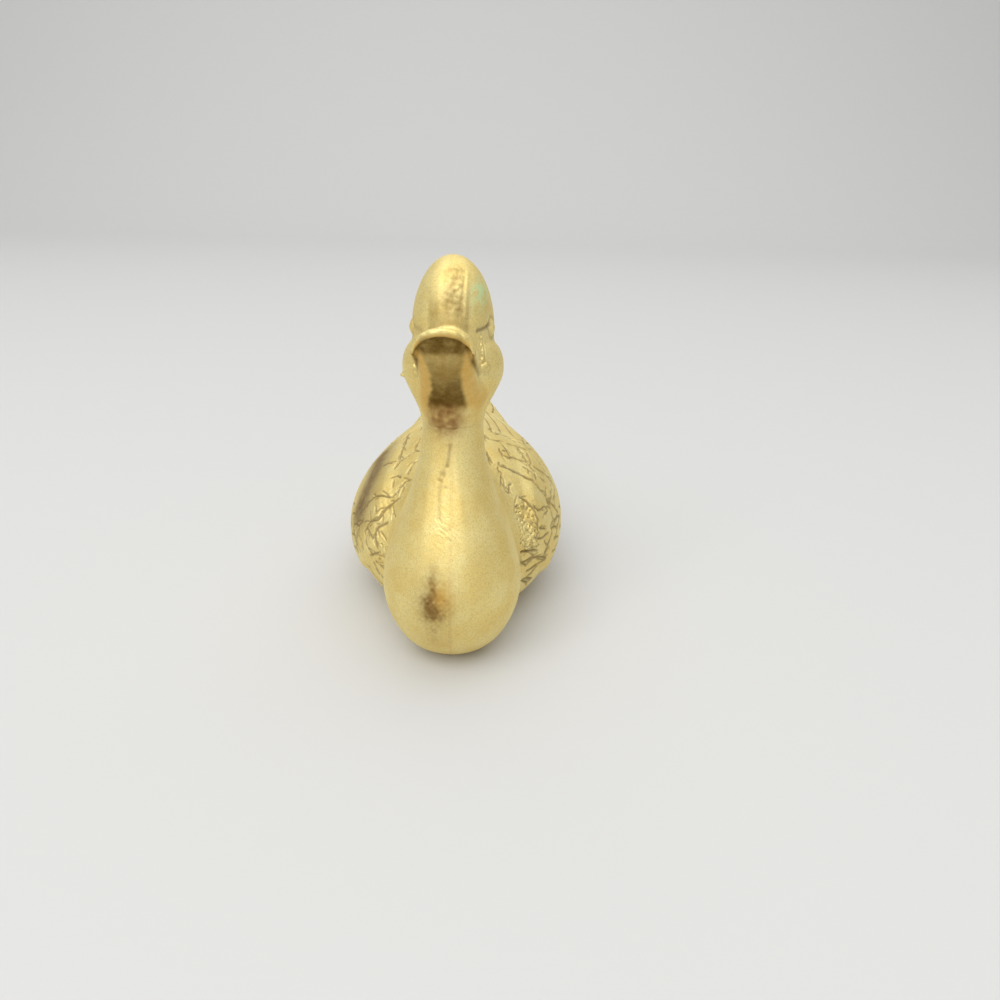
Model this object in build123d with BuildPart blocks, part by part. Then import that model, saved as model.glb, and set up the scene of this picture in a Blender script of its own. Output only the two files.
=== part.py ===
from build123d import *
import os
from math import cos, pi, radians, sin

os.makedirs("parts", exist_ok=True)

# Cast brass duck, made of two body castings and two head castings that are brazed together.
# Sizes are in millimetres. The bill points along -Y, the duck's left side is +X and Z is up.
# The origin is on the standing plane, midway between the breast and the tail tip.

# Main sizes
breast_front = -56.0
tail_tip = 56.0
body_half_width = 30.0
back_height = 48.0
breast_half_width = 17.5
neck_half_width = 7.2
neck_joint_height = 62.5
cheek_half_width = 11.8
dome_half_width = 9.5
crown_rise = 35.4
head_tilt = 15.0
head_turn = -3.8
bill_half_width = 6.7
bill_reach = 24.2

# Castings and brazed joints
wall = 3.0
seam_width = 0.9
seam_depth = 0.9
wing_relief = 1.0
socket_diameter = 8.0
socket_depth = 8.0
spigot_length = 7.0
spigot_clearance = 0.1
spigot_bore = 3.0
bead_height = 1.2
bead_depth = 1.0
bead_proud = 0.4
eye_diameter = 3.4
eye_seat = (8.1, -2.6, 20.4)

# Wing body, by upright sections from the shoulders to the tail:
# place along the body, half width, back, belly, height of the widest line
body_sections = [
    (-38.0, 11.0, 30.0, 8.0, 20.0),
    (-30.0, 19.5, 39.0, 3.0, 20.0),
    (-20.0, 26.4, 45.0, 0.0, 20.5),
    (-6.0, body_half_width, back_height, -1.5, 21.0),
    (8.0, 29.8, 47.5, -1.5, 21.5),
    (22.0, 25.3, 45.0, -1.0, 24.0),
    (34.0, 18.7, 43.0, 5.0, 29.0),
    (43.0, 14.0, 42.8, 18.0, 34.5),
    (50.5, 9.8, 44.2, 32.0, 40.0),
    (tail_tip, 5.0, 46.0, 41.5, 44.2),
]

# Fullness of the sections: 2 is an oval, less is flatter. The right shoulder is flatter than the left.
left_shoulder_fullness = 1.8
right_shoulder_fullness = 1.6
lower_fullness = 2.1

# Breast and neck, by level sections from below the standing plane to the head joint:
# height, front, back, half width
neck_sections = [
    (-3.0, -38.0, -10.0, 6.0),
    (4.0, -48.5, -10.0, 12.0),
    (12.0, -54.0, -10.0, 16.0),
    (20.0, breast_front, -10.0, breast_half_width),
    (28.0, -54.6, -12.0, 16.3),
    (36.0, -51.5, -15.0, 13.6),
    (44.0, -47.6, -19.0, 10.5),
    (52.0, -44.2, -23.0, 8.3),
    (neck_joint_height, -42.2, -27.5, neck_half_width),
]

# Skull, by sections square to the tilted head:
# rise above the head's centre, reach to the front, reach to the back, half width
head_centre = (0.0, -35.0, 64.0)
skull_sections = [
    (2.0, 8.2, 10.0, 8.5),
    (5.0, 9.2, 12.3, 10.1),
    (8.5, 10.0, 14.0, 11.6),
    (11.5, 10.5, 14.7, cheek_half_width),
    (14.5, 10.9, 15.0, 10.8),
    (17.5, 11.4, 15.0, 9.6),
    (21.0, 11.6, 14.6, dome_half_width),
    (25.0, 10.8, 13.4, 8.7),
    (29.0, 9.0, 11.2, 7.2),
    (32.8, 6.2, 7.8, 4.8),
    (crown_rise, 2.8, 3.4, 2.4),
]

# Bill and lower jaw, by sections square to the head's own forward line:
# reach, half width, height of the edge, top, underside
bill_sections = [
    (4.0, 7.3, 8.2, 19.3, 7.5),
    (10.0, 7.1, 9.6, 18.5, 8.9),
    (17.0, 6.9, 11.8, 17.8, 11.1),
    (21.5, bill_half_width, 13.2, 18.0, 12.5),
    (bill_reach, 5.2, 14.6, 18.0, 14.0),
]
jaw_sections = [
    (3.0, 6.7, 2.4, 10.0, -1.0),
    (8.0, 6.6, 6.0, 10.5, 2.8),
    (12.0, 6.4, 8.6, 11.6, 5.8),
    (15.0, 6.2, 10.4, 12.6, 8.0),
    (19.0, 5.0, 12.2, 13.6, 10.8),
]

# Wing, seen from the side: shoulder, points along its top edge, tip, and points back along its foot
wing_shoulder = (-28.0, 24.0)
wing_tip = (46.0, 42.0)
wing_top = [(-20.0, 36.0), (-5.0, 42.0), (14.0, 43.0), (32.0, 42.0)]
wing_foot = [(36.0, 32.0), (20.0, 17.0), (0.0, 9.0), (-18.0, 11.0)]
wing_from_middle = 5.0

# Head frame
tilt = radians(head_tilt)
head_up = Vector(0, sin(tilt), cos(tilt))
head_forward = Vector(0, -cos(tilt), sin(tilt))
section_steps = 8
past_part = 200.0


def head_point(across, back, rise):
    """A point given in the tilted head's own directions."""
    return Vector(*head_centre) + Vector(across, 0, 0) - head_forward * back + head_up * rise


def drawn_in(length, inset):
    """How much of a length is left when its far end is drawn in."""
    return (length - inset) / length


def half_oval(half_width, low, widest, high, fullness_low=2.0, fullness_high=2.0):
    """One side of a closed oval, from its lowest point round its widest to its highest."""
    points = []
    for step in range(section_steps + 1):
        angle = -pi / 2 + pi * step / section_steps
        is_high = angle > 0
        power = 2 / (fullness_high if is_high else fullness_low)
        side = max(cos(angle), 0.0) ** power
        rise = abs(sin(angle)) ** power
        reach = (high - widest) * rise if is_high else (low - widest) * rise
        points.append((half_width * side, widest + reach))
    return points


def half_face(plane, points):
    """The face between one side of an oval and the duck's middle plane."""
    with BuildSketch(plane) as section:
        with BuildLine():
            Spline(*points, tangents=[(1, 0), (-1, 0)])
            Line(points[-1], points[0])
        make_face()
    return section.sketch.face()


def body_faces(inset, rows, shoulder_fullness):
    faces = []
    for along, half_width, back, belly, widest in rows:
        points = half_oval(
            half_width - inset, belly + inset, widest, back - inset, lower_fullness, shoulder_fullness
        )
        place = along * drawn_in(tail_tip, inset) if along > 0 else along
        faces.append(half_face(Plane.XZ.offset(-place), points))
    return faces


def neck_outline(front, back, half_width, inset):
    """One side of a level section: a round front, drawn out towards the back."""
    middle = front + half_width
    return half_oval(half_width - inset, front + inset, middle, back - inset)


def neck_faces(inset, rows):
    faces = []
    for height, front, back, half_width in rows:
        faces.append(half_face(Plane.XY.offset(height), neck_outline(front, back, half_width, inset)))
    return faces


def skull_faces(inset, rows):
    faces = []
    for rise, front, back, half_width in rows:
        place = head_point(0, 0, rise * drawn_in(crown_rise, inset))
        plane = Plane(origin=place, x_dir=(1, 0, 0), z_dir=head_up)
        faces.append(half_face(plane, half_oval(half_width - inset, inset - front, 0, back - inset)))
    return faces


def bill_faces(inset, rows):
    faces = []
    share = drawn_in(rows[-1][0], inset)
    for reach, half_width, edge, top, underside in rows:
        plane = Plane(origin=head_point(0, -reach * share, 0), x_dir=(1, 0, 0), z_dir=head_forward)
        points = half_oval(half_width - inset, underside + inset, edge, top - inset)
        faces.append(half_face(plane, points))
    return faces


def body_form(inset, shoulder_fullness):
    """One side of body, breast and neck, drawn in by an inset and cut level at the bottom."""
    with BuildPart() as form:
        loft(sections=body_faces(inset, body_sections, shoulder_fullness))
        loft(sections=neck_faces(inset, neck_sections))
        with BuildSketch(Plane.XY.offset(inset)):
            Rectangle(past_part, past_part)
        extrude(amount=-past_part, mode=Mode.SUBTRACT)
    return form.part


def head_form(inset):
    """Left side of the head above its joint, drawn in by an inset."""
    with BuildPart() as form:
        loft(sections=neck_faces(inset, neck_sections[-1:]) + skull_faces(inset, skull_sections))
        loft(sections=bill_faces(inset, bill_sections))
        loft(sections=bill_faces(inset, jaw_sections))
        with BuildSketch(Plane.XY.offset(neck_joint_height)):
            Rectangle(past_part, past_part)
        extrude(amount=-past_part, mode=Mode.SUBTRACT)
    return form.part


def middle_slab(form):
    """The slice of one side that lies within half a seam of the middle plane."""
    with BuildPart() as slab:
        add(form)
        split(bisect_by=Plane.YZ.offset(seam_width / 2), keep=Keep.BOTTOM)
    return slab.part


def seam_groove(core):
    """What a casting leaves free for its half of the seam filler."""
    with BuildPart() as groove:
        with BuildSketch(Plane.YZ):
            Rectangle(past_part * 2, past_part * 2)
        extrude(amount=seam_width / 2)
        add(core, mode=Mode.SUBTRACT)
    return groove.part


# The upright axis of the neck, about which the head is turned
neck_front = neck_sections[-1][1]
neck_back = neck_sections[-1][2]
neck_middle = (neck_front + neck_back) / 2
neck_axis = Axis((0, neck_middle, 0), (0, 0, 1))


def level_disc(height, diameter):
    """The left half of a round level section on the neck's own axis."""
    with BuildSketch(Plane.XY.offset(height)) as disc:
        with Locations((0, neck_middle)):
            Circle(diameter / 2)
        with Locations((-past_part / 2, neck_middle)):
            Rectangle(past_part, past_part, mode=Mode.SUBTRACT)
    return disc.sketch.face()


# Braze filler round the neck joint
with BuildPart() as neck_joint_braze:
    with BuildSketch(Plane.XY.offset(neck_joint_height - bead_height / 2)):
        add(half_face(Plane.XY, neck_outline(*neck_sections[-1][1:], -bead_proud)))
        add(half_face(Plane.XY, neck_outline(*neck_sections[-1][1:], bead_depth)), mode=Mode.SUBTRACT)
    extrude(amount=bead_height)
    mirror(about=Plane.YZ)

# Body, and the groove that its castings leave along their seam
outer_body = body_form(0, left_shoulder_fullness)
body_slab = middle_slab(outer_body)
body_core = middle_slab(body_form(seam_depth, left_shoulder_fullness))
body_groove = seam_groove(body_core)
socket_floor = neck_joint_height - socket_depth


def body_casting(outer, shoulder_fullness):
    """The casting of one side of the body, drawn on the left."""
    # Raised wing panel
    with BuildPart() as wing:
        loft(sections=body_faces(-wing_relief, body_sections, shoulder_fullness))
        with BuildSketch(Plane.YZ.offset(wing_from_middle)):
            with BuildLine():
                Spline(wing_shoulder, *wing_top, wing_tip, tangents=[(0, 1), (1, 0.1)])
                Spline(wing_tip, *wing_foot, wing_shoulder, tangents=[(-0.7, -0.7), (0, 1)])
            make_face()
        extrude(amount=past_part, mode=Mode.INTERSECT)

    # Hollow, which narrows into the socket for the head
    with BuildPart() as hollow:
        loft(sections=body_faces(wall, body_sections[1:7], shoulder_fullness))
        loft(sections=neck_faces(wall, neck_sections[1:-1]) + [level_disc(socket_floor, socket_diameter)])
        with BuildSketch(Plane.XY.offset(wall)):
            Rectangle(past_part, past_part)
        extrude(amount=-past_part, mode=Mode.SUBTRACT)
        extrude(level_disc(socket_floor, socket_diameter), amount=socket_depth)

    with BuildPart() as casting:
        add(outer)
        add(wing.part)
        add(hollow.part, mode=Mode.SUBTRACT)
        add(neck_joint_braze.part, mode=Mode.SUBTRACT)
        add(body_groove, mode=Mode.SUBTRACT)
    return casting.part


# Body castings and the filler along their seam
with BuildPart() as body_left_half:
    add(body_casting(outer_body, left_shoulder_fullness))

right_casting = body_casting(body_form(0, right_shoulder_fullness), right_shoulder_fullness)
with BuildPart() as body_right_half:
    mirror(right_casting, about=Plane.YZ)

with BuildPart() as body_filler:
    add(body_slab)
    add(body_core, mode=Mode.SUBTRACT)
    add(neck_joint_braze.part, mode=Mode.SUBTRACT)

with BuildPart() as body_seam_braze:
    add(body_filler.part)
    mirror(about=Plane.YZ)

# Hollow of the head
with BuildPart() as head_hollow:
    loft(sections=skull_faces(wall, skull_sections[2:-2]))

# One side of the head, drawn on the left, with its half of the hollow spigot that stands in the neck
spigot_diameter = socket_diameter - 2 * spigot_clearance
spigot_foot = neck_joint_height - spigot_length
head_hollow_floor = head_point(0, 0, skull_sections[2][0]).Z
outer_head = head_form(0)
head_core = middle_slab(head_form(seam_depth))
head_groove = seam_groove(head_core)
head_slab = middle_slab(outer_head)
with BuildPart() as head_casting:
    add(outer_head)
    with Locations(head_point(*eye_seat)):
        Sphere(eye_diameter / 2)
    add(head_hollow.part, mode=Mode.SUBTRACT)
    extrude(level_disc(spigot_foot, spigot_diameter), amount=spigot_length)
    extrude(
        level_disc(spigot_foot, spigot_bore),
        amount=head_hollow_floor + wall - spigot_foot,
        mode=Mode.SUBTRACT,
    )
    add(head_groove, mode=Mode.SUBTRACT)

with BuildPart() as head_filler:
    add(head_slab)
    add(head_core, mode=Mode.SUBTRACT)

# Head castings and the filler along their seam, turned about the neck
with BuildPart() as head_left_half:
    add(head_casting.part.rotate(neck_axis, head_turn))
    add(neck_joint_braze.part, mode=Mode.SUBTRACT)

with BuildPart() as head_right_half:
    add(head_casting.part.mirror(Plane.YZ).rotate(neck_axis, head_turn))
    add(neck_joint_braze.part, mode=Mode.SUBTRACT)

with BuildPart() as head_seam:
    add(head_filler.part.solids().sort_by(SortBy.VOLUME)[-1])
    mirror(about=Plane.YZ)

with BuildPart() as head_seam_braze:
    add(head_seam.part.rotate(neck_axis, head_turn))
    add(neck_joint_braze.part, mode=Mode.SUBTRACT)

pieces = {
    "body_left_half": body_left_half,
    "body_right_half": body_right_half,
    "head_left_half": head_left_half,
    "head_right_half": head_right_half,
    "body_seam_braze": body_seam_braze,
    "head_seam_braze": head_seam_braze,
    "neck_joint_braze": neck_joint_braze,
}
for name, piece in pieces.items():
    piece.part.label = name
    export_step(piece.part, f"parts/{name}.step")
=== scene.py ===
import math

import bmesh
import bpy
import numpy as np
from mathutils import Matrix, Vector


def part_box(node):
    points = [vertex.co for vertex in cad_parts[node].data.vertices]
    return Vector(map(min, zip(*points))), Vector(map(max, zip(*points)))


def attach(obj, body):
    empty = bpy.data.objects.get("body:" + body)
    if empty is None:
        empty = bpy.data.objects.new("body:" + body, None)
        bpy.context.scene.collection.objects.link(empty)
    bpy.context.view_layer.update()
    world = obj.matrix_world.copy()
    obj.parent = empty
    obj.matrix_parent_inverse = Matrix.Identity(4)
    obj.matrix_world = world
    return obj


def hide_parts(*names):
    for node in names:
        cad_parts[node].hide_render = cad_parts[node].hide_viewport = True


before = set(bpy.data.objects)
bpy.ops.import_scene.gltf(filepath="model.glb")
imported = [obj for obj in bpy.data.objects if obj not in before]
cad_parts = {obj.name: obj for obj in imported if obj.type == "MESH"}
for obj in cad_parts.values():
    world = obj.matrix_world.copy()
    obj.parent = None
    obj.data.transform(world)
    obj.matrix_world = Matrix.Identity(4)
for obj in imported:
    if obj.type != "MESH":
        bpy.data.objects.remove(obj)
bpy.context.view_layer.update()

import openvdb
from mathutils import Matrix, Vector
from mathutils.kdtree import KDTree

mm = 0.001

# Shared sizes in millimetres, in the frame's own axes: bill towards -Y, duck's left towards +X.
seam_half_width = (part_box("body_seam_braze")[1][0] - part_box("body_seam_braze")[0][0]) / 2 / mm
neck_joint_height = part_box("body_left_half")[1][2] / mm
tail_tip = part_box("body_left_half")[1][1] / mm
body_step = 0.3
head_step = 0.2
seam_depth = 0.4
wing_relief = 1.0
neck_bead_radius = 0.55
neck_bead_proud = 0.08
cheek_fillet = 2.0
dome_fillet = 0.7
mouth_fillet = 1.4
bill_fillet = 1.3
lump_fillet = 0.25
neck_stub_top = 66

# What is worked into the surfaces, as heights and depths.
crown_flat_depth = 0.2
neck_flat_depth = 0.16
eye_height = 0.6
eye_ring_depth = 0.3
eye_crease_depth = 0.55
cheek_bead_height = 0.2
burr_height = 0.95

# Hull of the body: along, half width, back height, belly height, height of the widest line.
hull_rows = np.array([
    (-38, 11, 30, 8, 20),
    (-30, 19.5, 39, 3, 20),
    (-20, 26.4, 45, 0, 20.5),
    (-6, 30, 48, -1.5, 21),
    (8, 29.8, 47.5, -1.5, 21.5),
    (22, 25.3, 45, -1, 24),
    (34, 18.7, 43, 5, 29),
    (43, 14, 42.8, 18, 34.5),
    (50.5, 9.8, 44.2, 32, 40),
    (56, 5, 46, 41.5, 44.2),
])
# Fullness of the hull's sections: 2 is an oval, and the right shoulder is flatter.
left_shoulder_fullness = 1.8
right_shoulder_fullness = 1.6
hull_lower_fullness = 2.1

# Breast and neck column: height, front, back, half width.
neck_rows = np.array([
    (-3, -38, -10, 6),
    (4, -48.5, -10, 12),
    (12, -54, -10, 16),
    (20, -56, -10, 17.5),
    (28, -54.6, -12, 16.3),
    (36, -51.5, -15, 13.6),
    (44, -47.6, -19, 10.5),
    (52, -44.2, -23, 8.3),
    (62.5, -42.2, -27.5, 7.2),
    (67, -42.2, -28, 7.2),
])

# Wing panel, seen from the side: along and height, from the shoulder over the top to the tip and back.
wing_outline = [
    (-28, 24), (-20, 36), (-5, 42), (14, 43), (32, 42), (46, 42), (36, 32), (20, 17), (0, 9), (-18, 11),
]

# Head frame: tilted back about the neck joint, and turned and leant a little to the duck's right.
head_centre = (-35, 64)
head_tilt = math.radians(15)
head_turn = math.radians(-3.8)
head_lean = math.radians(-1.2)
crown_rise = 35.6
dome_half_width = 9.5
dome_half_height = 16.5
dome_front = 11.6
dome_back = 14.8

# Cheeks and throat: rise, front, back, half width.
cheek_rows = np.array([
    (-5, 6.2, 6.6, 6.4),
    (-1.5, 6.4, 6.8, 6.6),
    (2, 8, 10, 8.5),
    (5, 9.0, 12.3, 10.1),
    (8.5, 10, 14, 11.6),
    (11.5, 10.4, 14.6, 11.8),
    (14, 10.6, 14.6, 11.2),
    (16, 10.2, 14, 9.9),
    (17.5, 9, 12.5, 8),
    (19, 6, 9, 5),
])

# Upper bill: reach, half width, edge rise, top rise.
bill_rows = np.array([
    (2, 7.4, 7.6, 19.6),
    (10, 7.1, 9.6, 18.5),
    (17, 6.9, 11.8, 17.8),
    (21.5, 6.7, 13.2, 18),
    (24.2, 6.2, 14.2, 18.1),
])
bill_thickness = 1.9
bill_edge_thickness = 0.7
bill_edge_drop = 0.7
bill_tip_bow = 18
bill_root = -4

# Lower bill: reach, half width, edge rise, top rise, underside rise.
jaw_rows = np.array([
    (1, 6.8, 1, 9.6, -2),
    (8, 6.6, 6, 11.5, 2.8),
    (12, 6.3, 8.6, 13, 5.8),
    (15, 5.9, 10.4, 14.5, 8),
    (19, 5.4, 12.8, 16.4, 10.9),
    (22, 5, 14.6, 17.2, 13.4),
])
jaw_fullness = 2.4

# Lumps of metal in the corners of the mouth: across, reach, rise, radius.
left_mouth_lumps = [
    (6.9, 12.4, 11.2, 0.65),
    (7.4, 10.2, 10.4, 0.7),
    (7.9, 7.8, 10.9, 0.7),
    (8.4, 7.2, 10.1, 0.6),
    (7.3, 8.5, 12, 0.55),
]
right_mouth_lumps = [
    (7.6, 8.2, 10.2, 0.8),
    (7.4, 8, 9, 0.7),
]

# Eyes: reach and rise of the boss, its half length and half height, and the crease below it.
eye_place = (3, 19.3)
eye_size = (1.6, 2.1)
eye_crease = [(8.5, 18.2), (6.5, 18.9), (4.6, 19.8)]

# Marks on the crown and face, as across and rise in the head frame. Each pit has its radius.
crown_flat_middle = 1.05
crown_pits = [
    ((0.9, 29.3), 0.6),
    ((0.5, 27.6), 0.7),
    ((1.5, 26.6), 0.5),
    ((0.9, 24.2), 0.6),
]
brow_line = [(2.4, 21), (4.6, 19.6), (6.2, 17)]

# Marks on the front, as across and height. Each pit has its radius and depth. The flat on the neck is off
# the middle, and it widens downwards from its top.
neck_flat_middle = -1.75
neck_flat_top = 57
neck_flat_top_half_width = 2.7
neck_flat_flare = 0.11
throat_wrinkles = [
    [(-3.9, 64.8), (-2.2, 64.5), (-0.9, 65.5), (0, 66.7)],
    [(-1.3, 64), (0, 64.5), (1.2, 64.4)],
]
open_seam = [(-0.3, 58.3), (-0.6, 56), (-1.1, 53.3)]
neck_groove = [(-1.1, 53.3), (-2.6, 50), (-3, 46), (-3, 42)]
front_pits = [
    ((-2.2, 51.4), 0.6, 0.22),
    ((-2.8, 50.1), 0.5, 0.2),
    ((-1.4, 48.6), 0.4, 0.12),
    ((-4.4, 23.4), 0.6, 0.2),
    ((-4.2, 20.6), 0.6, 0.2),
    ((-3, 21.2), 0.5, 0.18),
    ((-3.9, 15), 0.7, 0.15),
]
front_bumps = [(-3.6, 22.9), (-3.6, 21.4)]
stain_streak = [(-3.8, 33), (-4.1, 29), (-4.3, 25), (-4.6, 20)]

# Tarnish over the right wing, as along and half the degrees up from the widest line.
tarnished_line = [(2, 20), (-6, 18.5), (-12, 14), (-16, 8.5)]

# Stains, painted shade and painted reflections that the surfaces carry as maps.
stain_and_shade_names = ("cavity", "brown", "orange", "scorch", "tarnish", "filed", "green", "dark")


def curve(rows, column, at):
    """One column of a table of sections, as a smooth curve through its rows, held level past the ends."""
    known, value = rows[:, 0], rows[:, column]
    gap = np.diff(known)
    slope = np.diff(value) / gap
    system = np.zeros((len(known), len(known)))
    right = np.zeros(len(known))
    system[0, 0] = system[-1, -1] = 1
    for i in range(1, len(known) - 1):
        system[i, i - 1:i + 2] = gap[i - 1], 2 * (gap[i - 1] + gap[i]), gap[i]
        right[i] = 6 * (slope[i] - slope[i - 1])
    bend = np.linalg.solve(system, right)
    at = np.clip(at, known[0], known[-1])
    i = np.clip(np.searchsorted(known, at) - 1, 0, len(known) - 2)
    t = at - known[i]
    lean = slope[i] - gap[i] * (2 * bend[i] + bend[i + 1]) / 6
    cubic = value[i] + lean * t + bend[i] / 2 * t ** 2 + (bend[i + 1] - bend[i]) / (6 * gap[i]) * t ** 3
    return cubic.astype(np.float32)


def smoothstep(low, high, value):
    t = np.clip((value - low) / (high - low), 0, 1)
    return t * t * (3 - 2 * t)


def drawn_line(knots, spacing, closed=False):
    """Points at about the given spacing along a smooth line through the knots."""
    knots = np.array(knots, dtype=float)
    if closed:
        padded = np.vstack([knots[-1:], knots, knots[:2]])
    else:
        padded = np.vstack([2 * knots[0] - knots[1], knots, 2 * knots[-1] - knots[-2]])
    line = []
    for a, b, c, d in zip(padded[:-3], padded[1:-2], padded[2:-1], padded[3:]):
        count = max(2, int(np.linalg.norm(c - b) / spacing))
        t = np.linspace(0, 1, count, endpoint=False)[:, None]
        line.append(b + t * (c - a) / 2 + t ** 2 * (a - 2.5 * b + 2 * c - d / 2)
                    + t ** 3 * (1.5 * (b - c) + (d - a) / 2))
    if not closed:
        line.append(knots[-1:])
    return np.vstack(line)


def ripple(points, wavelength, seed, waves=16):
    """Smooth seeded unevenness, mostly between -1 and 1, at about one wavelength in millimetres."""
    chance = np.random.default_rng(seed)
    ways = chance.normal(size=(waves, 3))
    ways *= 2 * math.pi / wavelength / np.linalg.norm(ways, axis=1)[:, None]
    ways *= chance.uniform(0.7, 1.4, (waves, 1))
    turns = chance.uniform(0, 2 * math.pi, waves)
    return np.sin(points @ ways.T + turns).sum(1) / math.sqrt(waves)


def near(points, centre, size):
    """One at a place, fading to about a third one size away from it."""
    return np.exp(-(((points - np.array(centre)) / np.array(size)) ** 2).sum(-1))


def near_line(points, knots, width):
    """One along a line, fading to about a third one width away from it."""
    line = drawn_line(knots, width / 4)
    tree = KDTree(len(line))
    for i, place in enumerate(line):
        tree.insert(tuple(place) + (0,) * (3 - len(place)), i)
    tree.balance()
    flat = np.zeros((len(points), 3))
    flat[:, :points.shape[1]] = points
    gap = np.array([tree.find(place)[2] for place in flat])
    return np.exp(-(gap / width) ** 2)


# Forms, as distances on a lattice.


def lattice(low, high, step):
    """Three broadcastable arrays of x, y and z over a box."""
    axes = [np.arange(a, b + step, step, dtype=np.float32) for a, b in zip(low, high)]
    return np.meshgrid(*axes, indexing="ij", sparse=True)


def as_distance(level, step):
    """A level function scaled so that it reads as a distance near its zero surface."""
    steepness = np.sqrt(sum(part ** 2 for part in np.gradient(level, step)))
    return level / np.maximum(steepness, 0.02)


def join(a, b, fillet):
    """Union of two distances with a fillet in the corner between them."""
    share = np.clip(0.5 + 0.5 * (b - a) / fillet, 0, 1)
    return b + (a - b) * share - fillet * share * (1 - share)


def common(a, b, rounding):
    """What two distances have in common, with a rounded edge."""
    return -join(-a, -b, rounding)


def both_sides(right, left):
    """A lattice over both sides from two sides drawn on the left, whose first layer is the middle plane."""
    return np.concatenate([right[:0:-1], left], axis=0)


def hull_level(x, y, z, shoulder_fullness):
    half_width, back, belly, wide = (curve(hull_rows, k, y) for k in range(1, 5))
    rise = z - wide
    upper = np.abs(x / half_width) ** shoulder_fullness
    upper = (upper + np.abs(rise / (back - wide)) ** shoulder_fullness) ** (1 / shoulder_fullness)
    lower = np.abs(x / half_width) ** hull_lower_fullness
    lower = (lower + np.abs(rise / (wide - belly)) ** hull_lower_fullness) ** (1 / hull_lower_fullness)
    return np.where(rise > 0, upper, lower) - 1


def column_level(x, y, z):
    front, back, half_width = (curve(neck_rows, k, z) for k in range(1, 4))
    middle = front + half_width
    reach = np.where(y < middle, half_width, back - middle)
    return np.sqrt((x / half_width) ** 2 + ((y - middle) / reach) ** 2) - 1


def wing_inside(y, z):
    """Distance inside the wing outline seen from the side, negative outside it."""
    outline = drawn_line(wing_outline, 1.5, closed=True)
    y, z = np.broadcast_arrays(y, z)
    gap = np.full(y.shape, 1e9, dtype=np.float32)
    crossings = np.zeros(y.shape, dtype=int)
    for (ay, az), (by, bz) in zip(outline, np.roll(outline, -1, axis=0)):
        ey, ez = by - ay, bz - az
        t = np.clip(((y - ay) * ey + (z - az) * ez) / (ey * ey + ez * ez), 0, 1)
        gap = np.minimum(gap, (y - ay - t * ey) ** 2 + (z - az - t * ez) ** 2)
        crossings += ((az > z) != (bz > z)) & (y < ay + ey * (z - az) / (ez if ez else 1e-9))
    return np.where(crossings % 2 == 1, np.sqrt(gap), -np.sqrt(gap))


def body_skin():
    low, high = (0, -58, -2.5), (33, 58.5, 65)
    x, y, z = lattice(low, high, body_step)
    panel = smoothstep(-1.2, 1.2, wing_inside(y, z)) * smoothstep(3, 8, x)
    column = as_distance(column_level(x, y, z), body_step)
    fillet = 1.4 + 5 * smoothstep(24, 46, z)
    sides = []
    for shoulder_fullness in (right_shoulder_fullness, left_shoulder_fullness):
        hull = as_distance(hull_level(x, y, z, shoulder_fullness), body_step)
        hull = common(common(hull, y - tail_tip, 2.0), hull_rows[0, 0] - y, 2.0)
        sides.append(join(hull - wing_relief * panel, column, fillet))
    return skin(both_sides(*sides), low, body_step)


def head_frame(y, z):
    """Forward reach and rise in the tilted frame of the head."""
    back, up = y - head_centre[0], z - head_centre[1]
    reach = -back * math.cos(head_tilt) + up * math.sin(head_tilt)
    rise = back * math.sin(head_tilt) + up * math.cos(head_tilt)
    return reach, rise


def cheek_level(x, reach, rise):
    front, back, half_width = (curve(cheek_rows, k, rise) for k in range(1, 4))
    depth = np.where(reach > 0, front, back)
    return np.sqrt((x / half_width) ** 2 + (reach / depth) ** 2) - 1


def dome_level(x, reach, rise):
    depth = np.where(reach > 0, dome_front, dome_back)
    up = (rise - crown_rise + dome_half_height) / dome_half_height
    return np.sqrt((x / dome_half_width) ** 2 + (reach / depth) ** 2 + up ** 2) - 1


def upper_bill(x, reach, rise, step):
    half_width, edge, top = (curve(bill_rows, k, reach) for k in range(1, 4))
    height = np.where(rise > edge, top - edge, bill_edge_drop)
    outside = as_distance(np.sqrt((x / half_width) ** 2 + ((rise - edge) / height) ** 2) - 1, step)
    inner_half_width = half_width - bill_edge_thickness
    inner_height = top - edge - bill_thickness
    hollow = np.sqrt((x / inner_half_width) ** 2 + ((rise - edge) / inner_height) ** 2) - 1
    plate = common(outside, -as_distance(hollow, step), 0.5)
    tip = reach - bill_rows[-1, 0] + x ** 2 / bill_tip_bow
    return common(plate, tip, 1.1)


def lower_bill(x, reach, rise, step):
    half_width, edge, top, underside = (curve(jaw_rows, k, reach) for k in range(1, 5))
    height = np.where(rise > edge, top - edge, edge - underside)
    level = np.abs(x / half_width) ** jaw_fullness + np.abs((rise - edge) / height) ** jaw_fullness
    level = level ** (1 / jaw_fullness) - 1
    return common(as_distance(level, step), reach - jaw_rows[-1, 0], 3.0)


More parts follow.
